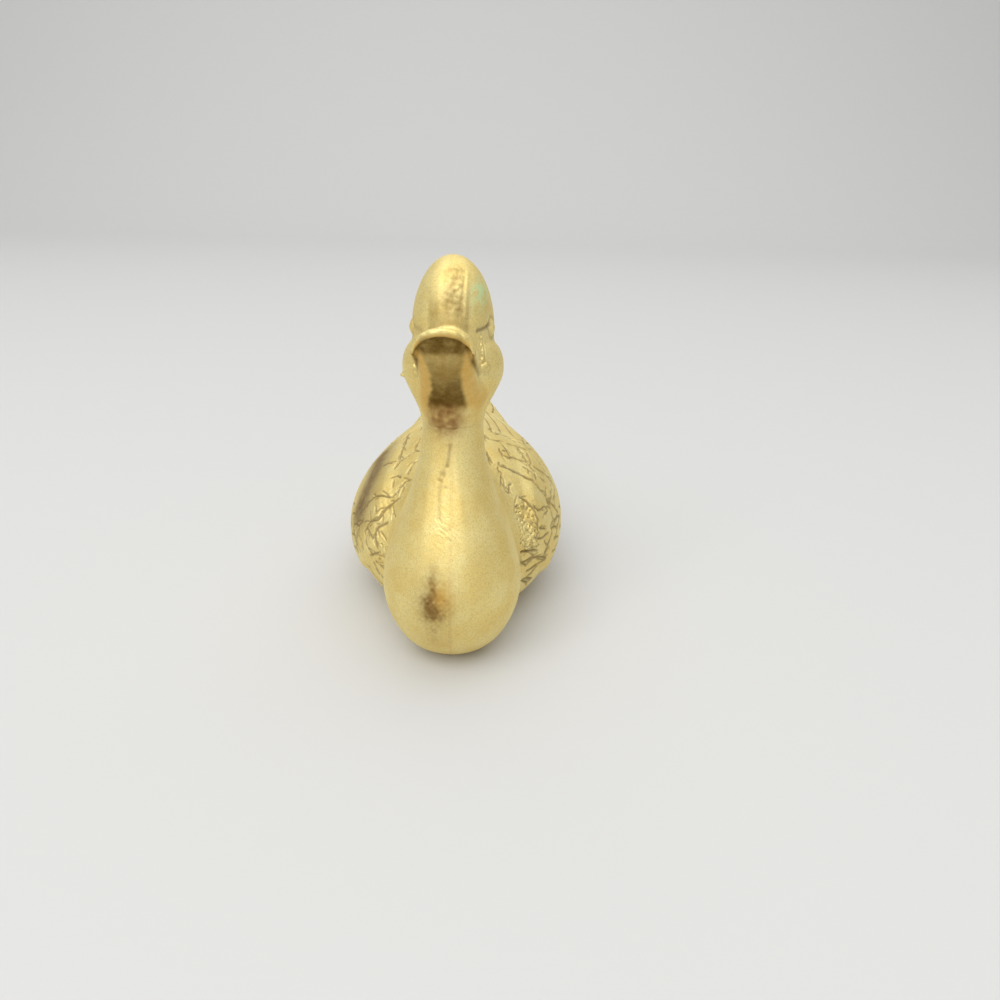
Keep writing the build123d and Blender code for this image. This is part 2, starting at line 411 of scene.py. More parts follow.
def head_skin():
    low, high = (0, -62, 60), (14, -14, 101.5)
    x, y, z = lattice(low, high, head_step)
    reach, rise = head_frame(y, z)
    cheeks = as_distance(cheek_level(x, reach, rise), head_step)
    cheeks = common(cheeks, rise - cheek_rows[-1, 0], 1.0)
    neck = common(as_distance(column_level(x, y, z), head_step), z - neck_stub_top, 1.5)
    dome = as_distance(dome_level(x, reach, rise), head_step)
    head = join(join(cheeks, neck, cheek_fillet), dome, dome_fillet)
    jaw = lower_bill(x, reach, rise, head_step)
    bill = join(upper_bill(x, reach, rise, head_step), jaw, mouth_fillet)
    head = join(head, common(bill, bill_root - reach, 1.0), bill_fillet)
    sides = []
    for lumps in (right_mouth_lumps, left_mouth_lumps):
        side = head
        for across, forward, up, radius in lumps:
            gap = np.sqrt((x - across) ** 2 + (reach - forward) ** 2 + (rise - up) ** 2)
            side = join(side, gap - radius, lump_fillet)
        sides.append(side)
    return skin(both_sides(*sides), low, head_step)


def skin(distance, low, step):
    """Quads over the zero surface of a distance whose middle layer is the middle plane."""
    band = 3.0
    grid = openvdb.FloatGrid(background=band)
    grid.copyFromArray(np.ascontiguousarray(np.clip(distance, -band, band), dtype=np.float32))
    points, quads = grid.convertToQuads()
    points = points.astype(np.float64) * step + np.array([-step * (distance.shape[0] // 2), low[1], low[2]])
    corners = points[quads]
    across = np.cross(corners[:, 2] - corners[:, 0], corners[:, 3] - corners[:, 1])
    if np.einsum("ij,ij->i", corners[:, 0], across).sum() < 0:
        quads = quads[:, ::-1]
    return points, quads


def normals_of(points, quads):
    corners = points[quads]
    across = np.cross(corners[:, 2] - corners[:, 0], corners[:, 3] - corners[:, 1])
    total = np.zeros_like(points)
    for k in range(4):
        for axis in range(3):
            total[:, axis] += np.bincount(quads[:, k], weights=across[:, axis], minlength=len(points))
    return total / np.maximum(np.linalg.norm(total, axis=1), 1e-9)[:, None]


# Wing engraving. A cut is its depth and half width in millimetres, and a stroke is a cut and its knots,
# as along in millimetres and degrees up from the widest line. Barbs leave a line only forward of the place
# along that barbed_until gives.

main_cut = (0.44, 0.4)
fine_cut = (0.34, 0.36)
deep_cut = (0.54, 0.48)
hair_cut = (0.32, 0.32)
barbed_until = 8

left_wing_strokes = [
    (fine_cut, [(46, 39), (34, 58)]),
    (main_cut, [(34.5, 66), (26, 61), (7.5, 57), (6, 47), (4.5, 39), (2, 31), (-2.5, 24)]),
    (fine_cut, [(21, 73), (9, 72), (1, 71)]),
    (fine_cut, [(32, 66), (16, 66), (4.5, 65)]),
    (main_cut, [(0.5, 69), (3, 65), (2.5, 55), (3, 46), (-1.5, 36), (-2.5, 33)]),
    (fine_cut, [(-1, 77), (-5, 74), (-5, 71)]),
    (main_cut, [(-5, 71), (-4.5, 65), (-8.5, 60), (-9.5, 58), (-8.5, 48), (-11, 41), (-13, 40)]),
    (main_cut, [(-2.5, 61), (-1.5, 56), (-4.5, 52), (-7.5, 49)]),
    (main_cut, [(-1.5, 55), (-1.5, 49), (-7.5, 44), (-4, 31), (-3, 24)]),
    (main_cut, [(-8.5, 66), (-10.5, 65), (-11, 60), (-9.5, 58)]),
    (fine_cut, [(-9, 64), (-8, 62), (-9, 60)]),
    (main_cut, [(-15.5, 65), (-16.5, 64), (-15.5, 55), (-15, 45), (-15, 34), (-15, 23)]),
    (fine_cut, [(-17.5, 65), (-18.5, 65), (-19, 62)]),
    (fine_cut, [(-19.5, 62), (-22, 61), (-23.5, 57), (-24, 53)]),
    (fine_cut, [(-20.5, 54), (-21.5, 55), (-22.5, 54), (-24, 53)]),
    (fine_cut, [(-13, 73), (-15, 72), (-17, 69)]),
    (fine_cut, [(-11.5, 50), (-11.5, 47), (-13, 46)]),
    (main_cut, [(-10, 37), (-10, 32), (-13.5, 30), (-15, 29)]),
    (main_cut, [(-5.5, 26), (-10.5, 24), (-14, 24)]),
    (fine_cut, [(-3.5, 21), (-10.5, 20), (-12, 18)]),
    (main_cut, [(-15.5, 28), (-16.5, 18), (-19, 12), (-23, 4), (-24.5, 0)]),
    (main_cut, [(-14.5, 24), (-13, 18), (-11, 12)]),
    (fine_cut, [(-12.5, 13), (-16.5, 12), (-18.5, 11)]),
    (fine_cut, [(-10, 9), (-13.5, 8), (-16, 6)]),
    (fine_cut, [(-26.5, 44), (-25.5, 44), (-24.5, 43)]),
    (main_cut, [(-22.5, 45), (-22, 41), (-22.5, 35), (-23, 30)]),
    (main_cut, [(-22, 34), (-21.5, 29), (-18.5, 27)]),
    (fine_cut, [(-18.5, 27), (-18, 23), (-20, 23)]),
    (main_cut, [(-23.5, 29), (-24, 25), (-25.5, 20), (-27, 16)]),
    (main_cut, [(-23.5, 20), (-24.5, 20), (-22.5, 16)]),
    (main_cut, [(-26.5, 15), (-25, 13), (-22, 12)]),
    (fine_cut, [(-24.5, 10), (-24, 5), (-25, 0)]),
    (deep_cut, [(-31, 14), (-29.5, 11), (-27.5, 7)]),
    (deep_cut, [(-32, 15), (-32, 9), (-31, 3), (-28, 3)]),
    (main_cut, [(-32.5, 4), (-31, 2), (-30, -2)]),
    (main_cut, [(-30, -1), (-27.5, 1), (-24, -5)]),
    (deep_cut, [(-29.5, -9), (-27, -9), (-24, -5)]),
    (main_cut, [(-28.5, -15), (-27, -14), (-26, -10)]),
    (deep_cut, [(-30.5, -18), (-29, -18), (-26, -23)]),
    (deep_cut, [(-30.5, -18), (-27, -26), (-26, -23)]),
]
right_wing_strokes = [
    (main_cut, [(36, 62), (27, 60), (14, 58)]),
    (fine_cut, [(33, 68), (19, 68), (7, 67)]),
    (fine_cut, [(23, 74), (10, 73), (1, 73)]),
    (main_cut, [(23, 58), (19, 50), (15, 46), (1.5, 44)]),
    (main_cut, [(11, 66), (8, 60), (0, 59), (-9.5, 56)]),
    (fine_cut, [(-2.5, 69), (-6, 67), (-8.5, 66)]),
    (main_cut, [(-11, 70), (-9.5, 65), (-10.5, 56), (-13, 52)]),
    (main_cut, [(-15, 69), (-15.5, 65), (-18, 60)]),
    (main_cut, [(-16, 49), (-16.5, 53), (-18, 55)]),
    (fine_cut, [(-7.5, 43), (-8.5, 48), (-10, 51)]),
    (fine_cut, [(-17.5, 50), (-19.5, 48)]),
    (main_cut, [(-21.5, 62), (-20.5, 57), (-22, 48), (-22, 44)]),
    (main_cut, [(-22, 44), (-18.5, 34), (-18, 27), (-18, 21)]),
    (deep_cut, [(-24, 49), (-24, 37), (-25, 28), (-23.5, 22), (-23.5, 14)]),
    (fine_cut, [(-17, 36), (-18.5, 34)]),
    (main_cut, [(-21.5, 32), (-23.5, 30)]),
    (fine_cut, [(-21, 26), (-23, 24)]),
    (fine_cut, [(-24.5, 50), (-23, 53), (-22, 56)]),
    (fine_cut, [(-24.5, 43), (-26.5, 41), (-28, 41)]),
    (main_cut, [(-23.5, 14), (-25.5, 9), (-27.5, 3)]),
    (deep_cut, [(-23.5, 17), (-25.5, 16), (-27, 15)]),
    (main_cut, [(-27, 32), (-26.5, 24), (-27, 19), (-28.5, 10)]),
    (fine_cut, [(-27.5, 23), (-29.5, 21)]),
    (main_cut, [(-20.5, 18), (-20, 13), (-20.5, 6), (-21, -6)]),
    (main_cut, [(-17.5, 5), (-20.5, 0), (-21.5, -7)]),
    (main_cut, [(-22, 7), (-23.5, 5), (-25, 2)]),
    (fine_cut, [(-27, 0), (-28.5, 5), (-29, 7)]),
    (deep_cut, [(-28.5, -3), (-30.5, -5), (-32.5, -8)]),
    (deep_cut, [(-27.5, -6), (-28.5, -13), (-29.5, -18)]),
    (main_cut, [(-24, -16), (-25.5, -26), (-28.5, -30)]),
]

# Punch marks: start and end of their band as along and turn, its spread along, and how many.
left_punches = ((-24.2, 44), (-30, 6), 2.5, 260)
right_punches = ((-30, 20), (-31, -6), 1.6, 70)

# Each wing: side, strokes, punch marks, seed. It is engraved off the middle, back from a place along, and
# down to a turn below the widest line.
wings = (
    (1, left_wing_strokes, left_punches, 11),
    (-1, right_wing_strokes, right_punches, 12),
)
engraved_off_middle = 1.5
engraved_from = -35
engraved_down_to = -48


def flight_feathers():
    """Long quill lines from the middle of the wing back to its tip, with short barbs between them."""
    strokes = []
    for k in range(7):
        turn = 50 - 13 * k
        start = 4 + 1.5 * k
        end_turn = 44 - 6 * k
        strokes.append((main_cut, [
            (start, turn),
            (start + 12, turn - 2),
            (30, 0.5 * (turn + end_turn)),
            (44 - k, end_turn),
        ]))
        for step in range(5):
            along = start + 4 + 5.5 * step
            strokes.append((fine_cut, [
                (along, turn - 3),
                (along + 3.5, turn - 6.5),
                (along + 5, turn - 9),
            ]))
    return strokes


def barbs(strokes, seed):
    """Short fine strokes that leave the longer lines on alternate sides, like the barbs of a feather."""
    chance = np.random.default_rng(seed)
    degrees_per_mm = 2.0
    added = []
    for _, knots in strokes:
        line = drawn_line(np.array(knots) / (1, degrees_per_mm), 0.5)
        side = 1
        at = int(chance.integers(1, 5))
        while at < len(line) - 3:
            way = line[at + 1] - line[at - 1]
            bearing = math.atan2(way[1], way[0]) + side * chance.uniform(0.5, 0.9)
            length = chance.uniform(1.6, 3.8)
            places = [line[at]]
            for share in (0.5, 1.0):
                bend = bearing - side * 0.35 * share
                places.append(line[at] + share * length * np.array((math.cos(bend), math.sin(bend))))
            if line[at][0] < barbed_until:
                added.append((hair_cut, [(p[0], p[1] * degrees_per_mm) for p in places]))
            side = -side
            at += int(chance.integers(3, 6))
    return added


def flank_scallops():
    """Rows of small feather tips on the side of the wing, below where the long lines start."""
    strokes = []
    for row in range(4):
        for k in range(5):
            along = -20 + 6 * row + 1.5 * (k % 2)
            turn = 8 - 9 * k
            strokes.append((main_cut, [
                (along, turn + 4),
                (along + 3.2, turn + 1),
                (along + 3.4, turn - 3),
                (along + 0.6, turn - 5),
            ]))
    return strokes


def tail_feathers():
    strokes = []
    for turn in (8, 30, 55, 76):
        strokes.append((main_cut, [(43, turn + 4), (49, turn), (54.5, turn - 2)]))
    for turn in (-25, -55):
        strokes.append((fine_cut, [(44, turn), (53, turn)]))
    return strokes


def hull_point(along, turn, side):
    """Places on the winged hull."""
    half_width, back, belly, wide = (curve(hull_rows, k, along) for k in range(1, 5))
    turn = np.radians(turn)
    upper = turn > 0
    shoulder_fullness = left_shoulder_fullness if side > 0 else right_shoulder_fullness
    fullness = np.where(upper, shoulder_fullness, hull_lower_fullness)
    size = (np.abs(np.cos(turn)) ** fullness + np.abs(np.sin(turn)) ** fullness) ** (-1 / fullness)
    height = np.where(upper, back - wide, wide - belly)
    across = side * (half_width + wing_relief) * size * np.cos(turn)
    return np.stack([across, along, wide + height * size * np.sin(turn)], axis=-1)


def hull_turn(points):
    """Degrees up from the widest line of the hull."""
    half_width, back, belly, wide = (curve(hull_rows, k, points[:, 1]) for k in range(1, 5))
    rise = points[:, 2] - wide
    height = np.where(rise > 0, back - wide, wide - belly)
    return np.degrees(np.arctan2(rise / height, np.abs(points[:, 0]) / (half_width + wing_relief)))


def engraved(points, strokes, side):
    """Height of an engraved wing at each point, and the grime and painted shade in its cuts.

    A cut has raised lips and lies in a soft valley, and it is shallower at the ends of its stroke.
    """
    places, depths, widths = [], [], []
    for (depth, width), knots in strokes:
        line = drawn_line(knots, 0.35)
        fade = np.minimum(np.arange(len(line)), np.arange(len(line))[::-1]) / (0.22 * len(line))
        places.append(hull_point(line[:, 0], line[:, 1], side))
        depths.append(depth * np.clip(0.55 + fade, 0, 1))
        widths.append(np.full(len(line), width))
    places, depths, widths = np.vstack(places), np.concatenate(depths), np.concatenate(widths)
    tree = KDTree(len(places))
    for i, place in enumerate(places):
        tree.insert(place, i)
    tree.balance()
    reference = hull_point(points[:, 1], hull_turn(points), side)
    height, grime_and_shade = np.zeros(len(points)), np.zeros(len(points))
    for i, place in enumerate(reference):
        _, nearest, gap = tree.find(place)
        share = gap / widths[nearest]
        lip = 0.2 * math.exp(-((share - 1.6) / 0.5) ** 2)
        height[i] = depths[nearest] * (lip - 0.22 * math.exp(-(share / 2.4) ** 2))
        if share < 1:
            height[i] -= depths[nearest] * (1 - share * share) ** 2
        # Grime and painted shade darken the whole cut, its far wall too.
        grime_and_shade[i] = min(max((1.1 - share) / 0.6, 0), 1) * min(depths[nearest] / 0.3, 1)
    return height, grime_and_shade


def punched(points, centres, radii, depths):
    """Height of a surface struck with small round punches."""
    tree = KDTree(len(centres))
    for i, place in enumerate(centres):
        tree.insert(place, i)
    tree.balance()
    height = np.zeros(len(points))
    for i, place in enumerate(points):
        _, nearest, gap = tree.find(place)
        share = gap / radii[nearest]
        if share < 1:
            height[i] = depths[nearest] * (1 - share * share) ** 2
    return height


def stippled(points, side, seed, start, end, spread, count):
    """Punch marks scattered along a band of the wing between two places given by along and turn."""
    chance = np.random.default_rng(seed)
    share = chance.uniform(0, 1, count)
    along = start[0] + share * (end[0] - start[0]) + chance.uniform(-spread, spread, count)
    turn = start[1] + share * (end[1] - start[1])
    radii = chance.uniform(0.4, 0.65, count)
    depths = chance.choice([-0.34, -0.24, 0.2], count)
    centres = hull_point(along, turn, side)
    return punched(hull_point(points[:, 1], hull_turn(points), side), centres, radii, depths)


# Work on the surfaces, their stains, and the shade and reflections painted on them.


def stain_and_shade_maps(count, **given):
    """Every map of stain, painted shade or painted reflection by name, empty where none is given."""
    return {name: given.get(name, np.zeros(count)) for name in stain_and_shade_names}


def engraved_wings(points, turn, hull_share):
    """Height of the engraving and punch marks of both wings at each point of the body, and the grime and
    painted shade in their hollows.
    """
    x, y = points[:, 0], points[:, 1]
    height, grime_and_shade = np.zeros(len(points)), np.zeros(len(points))
    for side, traced, band, seed in wings:
        inside = (side * x > engraved_off_middle) & (y > engraved_from) & (turn > engraved_down_to)
        chosen = np.where(inside & (hull_share > 0))[0]
        long_strokes = traced + flight_feathers() + flank_scallops() + tail_feathers()
        long_work, long_grime_and_shade = engraved(points[chosen], long_strokes, side)
        short_work, short_grime_and_shade = engraved(points[chosen], barbs(traced, seed), side)
        punches = stippled(points[chosen], side, seed, *band)
        struck = np.clip((-punches - 0.1) / 0.2, 0, 1)
        uneven = 0.035 * ripple(points[chosen], 1.5, seed) * smoothstep(-10, -26, y[chosen])
        height[chosen] = np.minimum(long_work, short_work) + punches + uneven
        grime_and_shade[chosen] = np.maximum.reduce([long_grime_and_shade, 0.8 * short_grime_and_shade, struck])
    return height * hull_share, grime_and_shade * hull_share


def dressed_neck(points, front):
    """Height of the flat filed down the front of the neck between two soft ridges, and where it lies."""
    x, z = points[:, 0], points[:, 2]
    half_width = neck_flat_top_half_width + neck_flat_flare * (neck_flat_top - z)
    off_flat = np.abs(x - neck_flat_middle) / half_width
    share = smoothstep(30, 38, z) * smoothstep(60, 56, z) * front
    ridges = 0.04 * np.exp(-((off_flat - 1) / 0.2) ** 2)
    return (ridges - neck_flat_depth * smoothstep(1.1, 0.1, off_flat)) * share, share


def breast_stain(points, face, front):
    """Brown that runs down the breast from a casting fault, and the height of its roughness."""
    mottle = ripple(points, 1.4, 5)
    streak = near_line(face, stain_streak, 1.1) * smoothstep(36, 26, points[:, 2])
    lobes = 0.8 * near(face, (-5.2, 21.6), (1.6, 3.4)) + 0.6 * near(face, (-2.4, 20.8), (1.8, 2.2))
    halo = near(face, (-3.8, 23), (4.4, 6.5)) + 0.35 * near(face, (-3.6, 12), (3.5, 3.5))
    stain = (0.55 * streak + 0.55 * lobes + 0.62 * halo) * front * (0.85 + 0.2 * mottle)
    return stain, -0.06 * stain * (1 + 0.8 * mottle)


def dress_body(points, quads):
    """Moves the body's points for everything worked into its surface, and returns its maps of stains and of
    grime and painted shade.
    """
    normals = normals_of(points, quads)
    x, y, z = points.T
    turn = hull_turn(points)
    column_gap = column_level(x, y, z) * curve(neck_rows, 3, z)
    hull_share = smoothstep(0.3, 1.6, column_gap)
    front = smoothstep(-0.2, -0.6, normals[:, 1]) * (1 - hull_share)
    face = np.stack([x, z], axis=1)
    flank = np.stack([y, turn / 2], axis=1)
    engraving, grime_and_shade = engraved_wings(points, turn, hull_share)
    neck_flat, dressed = dressed_neck(points, front)
    stain, roughness = breast_stain(points, face, front)
    groove = near_line(face, neck_groove, 0.5) * front
    open_line = near_line(face, open_seam, 0.3) * front
    pits = sum(depth * near(face, place, radius) for place, radius, depth in front_pits) * front
    bumps = sum(near(face, place, 0.45) for place in front_bumps) * front
    height = 0.018 * ripple(points, 11, 1) + 0.008 * ripple(points, 4, 2)
    height += engraving + neck_flat + roughness
    height += 0.16 * bumps - pits - 0.12 * groove - 0.3 * open_line
    mottle = np.clip(0.9 + 0.2 * ripple(points, 1.8, 13), 0, 1)
    maps = stain_and_shade_maps(
        len(points),
        # Grime and painted shade darken the engraving, the punch marks, the open seam and the groove.
        cavity=np.clip(grime_and_shade + 0.6 * open_line + 0.25 * groove, 0, 1),
        brown=np.clip(stain + pits, 0, 0.95),
        orange=0.9 * near(face, (-2, 25), (2, 3)) * front,
        scorch=near(face, (-1.6, 63), (3.8, 3.2)) * front * mottle,
        tarnish=near_line(flank, tarnished_line, 5.4) * (x < 0) * hull_share,
        filed=dressed * near(face, (-1, 40), (3.4, 6)),
    )
    return points + normals * height[:, None], maps


def ground_crown(points, place):
    """Height of the crown, ground flat between two low ridges, and where its flat and its pits are."""
    x, reach, rise = place.T
    off_middle = x - crown_flat_middle
    crown_top = 32.6 - 0.2 * off_middle ** 2
    crown = smoothstep(19.5, 23, rise) * smoothstep(0.9, -0.9, rise - crown_top) * smoothstep(0, 2, reach)
    band = smoothstep(2.75, 2.0, off_middle) * smoothstep(-3.4, -1.2, off_middle) * crown
    left_ridge = 0.05 * np.exp(-((off_middle - 2.8) / 0.45) ** 2) * crown
    right_ridge = 0.02 * np.exp(-((off_middle + 3.3) / 0.9) ** 2) * crown
    lump = 0.16 * near(place, (0.3, 10.4, 25.6), (0.55, 3, 0.9))
    pits = sum(near(place[:, [0, 2]], pit, radius) for pit, radius in crown_pits) * crown
    height = left_ridge + right_ridge + lump - 0.12 * pits
    height -= band * (crown_flat_depth + 0.05 * ripple(points, 1.2, 7))
    return height, band, pits


def eyes(place):
    """Height of the eyes, low bosses in sunk rings with a crease forward below them, and the shade painted
    in their rings and creases.
    """
    x, reach, rise = place.T
    flank = smoothstep(5.5, 6.5, np.abs(x))
    gap = np.hypot((reach - eye_place[0]) / eye_size[0], (rise - eye_place[1]) / eye_size[1])
    boss = np.clip(1 - gap ** 2, 0, 1) ** 1.5 * flank
    ring = np.exp(-((gap - 1.15) / 0.25) ** 2) * flank
    crease = near_line(place[:, 1:], eye_crease, 0.6) * flank * np.where(x > 0, 1, 0.5)
    height = eye_height * boss - eye_ring_depth * ring - eye_crease_depth * crease
    return height, 0.5 * ring + crease


def cheek_beads(place):
    """Height of the string of beads down the left cheek, and where the hollows round them are, which are
    also painted with shade.
    """
    height, hollows = np.zeros(len(place)), np.zeros(len(place))
    for k in range(8):
        centre = np.array((7.6 + 0.15 * math.sin(2.4 * k), 8, 16.8 - 0.72 * k))
        seat = np.argmin(((place - centre) ** 2).sum(1))
        gap = np.linalg.norm(place - place[seat], axis=1) / (0.32 + 0.06 * math.sin(3.7 * k))
        height += cheek_bead_height * np.exp(-gap ** 2)
        hollows += np.exp(-((gap - 1.5) / 0.5) ** 2)
    hollows = np.clip(hollows, 0, 1)
    return height - 0.12 * hollows, hollows


def shade_round_mouth_lumps(place):
    """Shade painted round the lumps in the corners of the mouth, where they meet the surface."""
    grime_and_shade = np.zeros(len(place))
    for side, lumps in ((1, left_mouth_lumps), (-1, right_mouth_lumps)):
        for across, forward, up, radius in lumps:
            gap = np.linalg.norm(place - np.array((side * across, forward, up)), axis=1)
            grime_and_shade = np.maximum(grime_and_shade, np.exp(-((gap - radius - 0.3) / 0.22) ** 2))
    return grime_and_shade


def bill_rim(points, place, upward):
    """Height of the bill's uneven rim, and the shade painted in the recess behind it and under its lower
    edges, partly dirt.
    """
    x, reach, rise = place.T
    from_rim = bill_rows[-1, 0] - x ** 2 / bill_tip_bow - reach
    recess = smoothstep(0.5, 1.4, from_rim) * smoothstep(18, 21, reach) * smoothstep(12, 14.5, rise)
    # Shade is painted only where the surface faces down.
    recess *= smoothstep(0.5, 0.1, upward)
    edge_half_width, edge_rise = (curve(bill_rows, k, reach) for k in (1, 2))
    off_corner = np.hypot(np.abs(x) - edge_half_width + 0.8, rise - edge_rise + 0.5)
    corner = np.exp(-(off_corner / 0.6) ** 2) * smoothstep(8, 10, reach) * smoothstep(0.4, 1.4, from_rim)
    height = 0.06 * ripple(points, 1.8, 8) * smoothstep(2, 0.5, from_rim) - 0.15 * corner
    return height, recess + 0.9 * corner


def dark_panel(points, place, upward, throat):
    """The dark panel under the bill and down the throat, waisted in the middle: a painted dark reflection
    and dirt, only where the surface faces down.
    """
    x, reach, rise = place.T
    edge = 3.3 + 1.1 * smoothstep(8.5, 13, rise) + 1.1 * smoothstep(6, 1.5, rise)
    edge += 0.1 * ripple(points, 2.5, 10)
    panel = smoothstep(0.6, -0.5, np.abs(x + 0.5 * smoothstep(8, 2, rise)) - edge) * throat
    return panel * smoothstep(0, 3, rise) * smoothstep(0.5, 0.1, upward) * smoothstep(24, 22.5, reach)


def dress_head(points, quads):
    """Moves the head's points for everything worked into its surface, and returns its maps of stains,
    painted shade and painted reflection.
    """
    normals = normals_of(points, quads)
    x = points[:, 0]
    reach, rise = head_frame(points[:, 1], points[:, 2])
    place = np.stack([x, reach, rise], axis=1)
    face = np.stack([x, points[:, 2]], axis=1)
    upward = normals[:, 1] * math.sin(head_tilt) + normals[:, 2] * math.cos(head_tilt)
    throat = smoothstep(3, 5, reach)
    crown_work, band, pits = ground_crown(points, place)
    eye_work, eye_shade = eyes(place)
    beads, hollows = cheek_beads(place)
    rim_work, rim_dark = bill_rim(points, place, upward)
    brow = near_line(place[:, [0, 2]], brow_line, 0.5) * throat
    burr = near(place, (-11.7, 2.5, 8.4), (1.6, 0.7, 0.5))
    wrinkles = sum(near_line(face, wrinkle, 0.32) for wrinkle in throat_wrinkles) * throat
    height = 0.015 * ripple(points, 9, 3) + 0.008 * ripple(points, 3.5, 4)
    height += crown_work + eye_work + beads + rim_work
    height += burr_height * burr + 0.1 * wrinkles - 0.12 * brow
    # A golden reflection is painted in two bands down the throat beside the dark panel, on surfaces that
    # face down, to scorched metal at the neck joint.
    gold_reflection_edge = 6.2 + np.where(x > 0, 2.4, 0.8) * smoothstep(9, 4, rise)
    gold_reflection = smoothstep(0.2, -0.4, normals[:, 2]) * throat * smoothstep(0.8, -0.8, np.abs(x) - gold_reflection_edge)
    panel = dark_panel(points, place, upward, throat)
    scorch = smoothstep(5, 1.5, rise) * throat * np.exp(-((x + 1) / 4.2) ** 4)
    mottle = ripple(points, 1.8, 13)
    green = near(place, (7, 7, 27.6), (1.7, 5, 2.8)) + 0.35 * near(place, (6, 8, 24.5), (2, 5, 3.4))
    green *= np.clip(0.75 + 0.5 * ripple(points, 2.2, 9), 0, 1)
    maps = stain_and_shade_maps(
        len(points),
        # The hollow map here is painted shade in the eye rings and creases, round the cheek beads and round
        # the mouth lumps.
        cavity=np.clip(eye_shade + 0.2 * hollows + 0.25 * shade_round_mouth_lumps(place), 0, 1),
        brown=np.clip(band * (0.24 + 0.12 * mottle) + 0.3 * pits, 0, 1),
        # The golden bands are a painted reflection.
        orange=gold_reflection * (1 - 0.5 * panel),
        scorch=scorch * np.clip(0.9 + 0.2 * mottle, 0, 1),
        green=np.clip(green, 0, 1),
        # Painted shade, dark reflection and dirt under the bill, darker lower down.
        dark=np.clip(panel * (0.5 + 0.5 * smoothstep(12, 3, rise)) + rim_dark, 0, 1),
    )
    return points + normals * height[:, None], maps


# Pieces.


def cut_open(shell, place, outward):
    geometry = shell.verts[:] + shell.edges[:] + shell.faces[:]
    cut = bmesh.ops.bisect_plane(
        shell, geom=geometry, dist=1e-7, plane_co=Vector(place) * mm, plane_no=outward, clear_outer=True)
    return [edge for edge in cut["geom_cut"] if isinstance(edge, bmesh.types.BMEdge)]


def cut_closed(shell, place, outward):
    rim = cut_open(shell, place, outward)
    bmesh.ops.triangle_fill(shell, edges=rim, use_beauty=True, use_dissolve=False)


def shell_of(points, quads, maps):
    mesh = bpy.data.meshes.new("skin")
    mesh.from_pydata((points * mm).tolist(), [], quads.tolist())
    for name, values in maps.items():
        mesh.attributes.new(name, "FLOAT", "POINT").data.foreach_set("value", values.astype(np.float32))
    shell = bmesh.new()
    shell.from_mesh(mesh)
    bpy.data.meshes.remove(mesh)
    return shell


def finished(shell, name, material):
    mesh = bpy.data.meshes.new(name)
    shell.to_mesh(mesh)
    shell.free()
    mesh.materials.append(material)
    mesh.shade_smooth()
    mesh.set_sharp_from_angle(angle=math.radians(60))
    piece = bpy.data.objects.new(name, mesh)
    bpy.context.collection.objects.link(piece)
    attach(piece, "root")
    return piece


def seamed_pieces(part, points, quads, maps, ends, turn=0.0, lean=0.0):
    """The two half castings of a part and the brazed strip between them, turned about the neck."""
    turning = Matrix.Rotation(lean, 3, "Y") @ Matrix.Rotation(turn, 3, "Z")
    pivot = (0, head_centre[0] * mm, neck_joint_height * mm)
    whole = shell_of(points, quads, maps)
    for end in ends:
        cut_closed(whole, *end)
    for name, outward in (("left_half", -1), ("right_half", 1)):
        half = whole.copy()
        cut_closed(half, (-outward * seam_half_width, 0, 0), (outward, 0, 0))
        bmesh.ops.rotate(half, cent=pivot, matrix=turning, verts=half.verts)
        piece = finished(half, f"{part}_{name}_skin", cast_brass)
        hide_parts(f"{part}_{name}")
    for outward in (1, -1):
        cut_open(whole, (outward * seam_half_width, 0, 0), (outward, 0, 0))
    bmesh.ops.solidify(whole, geom=whole.faces[:], thickness=seam_depth * mm)
    bmesh.ops.rotate(whole, cent=pivot, matrix=turning, verts=whole.verts)
    piece = finished(whole, f"{part}_seam_braze_skin", braze_filler)
    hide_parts(f"{part}_seam_braze")


def neck_bead():
    """Lumpy brazed bead round the neck, proud at the throat and dressed down elsewhere."""
    around, profile = 240, 14
    joint = np.array([neck_joint_height])
    front, back, half_width = (float(curve(neck_rows, k, joint)[0]) for k in range(1, 4))
    middle = front + half_width
    turn = np.linspace(0, 2 * math.pi, around, endpoint=False)
    reach = np.where(np.cos(turn) > 0, half_width, back - middle)
    heights = np.full(around, neck_joint_height)
    centre = np.stack([half_width * np.sin(turn), middle - reach * np.cos(turn), heights], axis=1)
    outward = np.stack([np.sin(turn) / half_width, -np.cos(turn) / reach, np.zeros(around)], axis=1)
    outward /= np.linalg.norm(outward, axis=1)[:, None]
    throat = smoothstep(0.55, 0.95, np.cos(turn))
    lumps = ripple(centre, 2.2, 21)
    radius = neck_bead_radius + 0.05 * lumps * throat
    proud = 0.04 + neck_bead_proud * throat * (0.8 + 0.5 * lumps)
    centre += outward * (proud - radius)[:, None]
    centre[:, 2] += 0.25 * throat * ripple(centre, 3, 22)
    rings = []
    for angle in np.linspace(0, 2 * math.pi, profile, endpoint=False):
        offset = outward * (radius * math.cos(angle))[:, None]
        offset[:, 2] += radius * 1.1 * math.sin(angle)
        rings.append(centre + offset)
    points = np.stack(rings, axis=1).reshape(-1, 3)
    faces = []
    for i in range(around):
        for k in range(profile):
            j, m = (i + 1) % around, (k + 1) % profile
            faces.append((i * profile + k, j * profile + k, j * profile + m, i * profile + m))
    quads = np.array(faces)
    stain = throat * np.exp(-((centre[:, 0] + 1.4) / 4) ** 4) * np.clip(0.85 + 0.2 * lumps, 0, 1)
    maps = stain_and_shade_maps(len(points), scorch=np.repeat(stain, profile))
    piece = finished(shell_of(points, quads, maps), "neck_joint_braze_bead", braze_filler)
    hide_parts("neck_joint_braze")


# Materials.


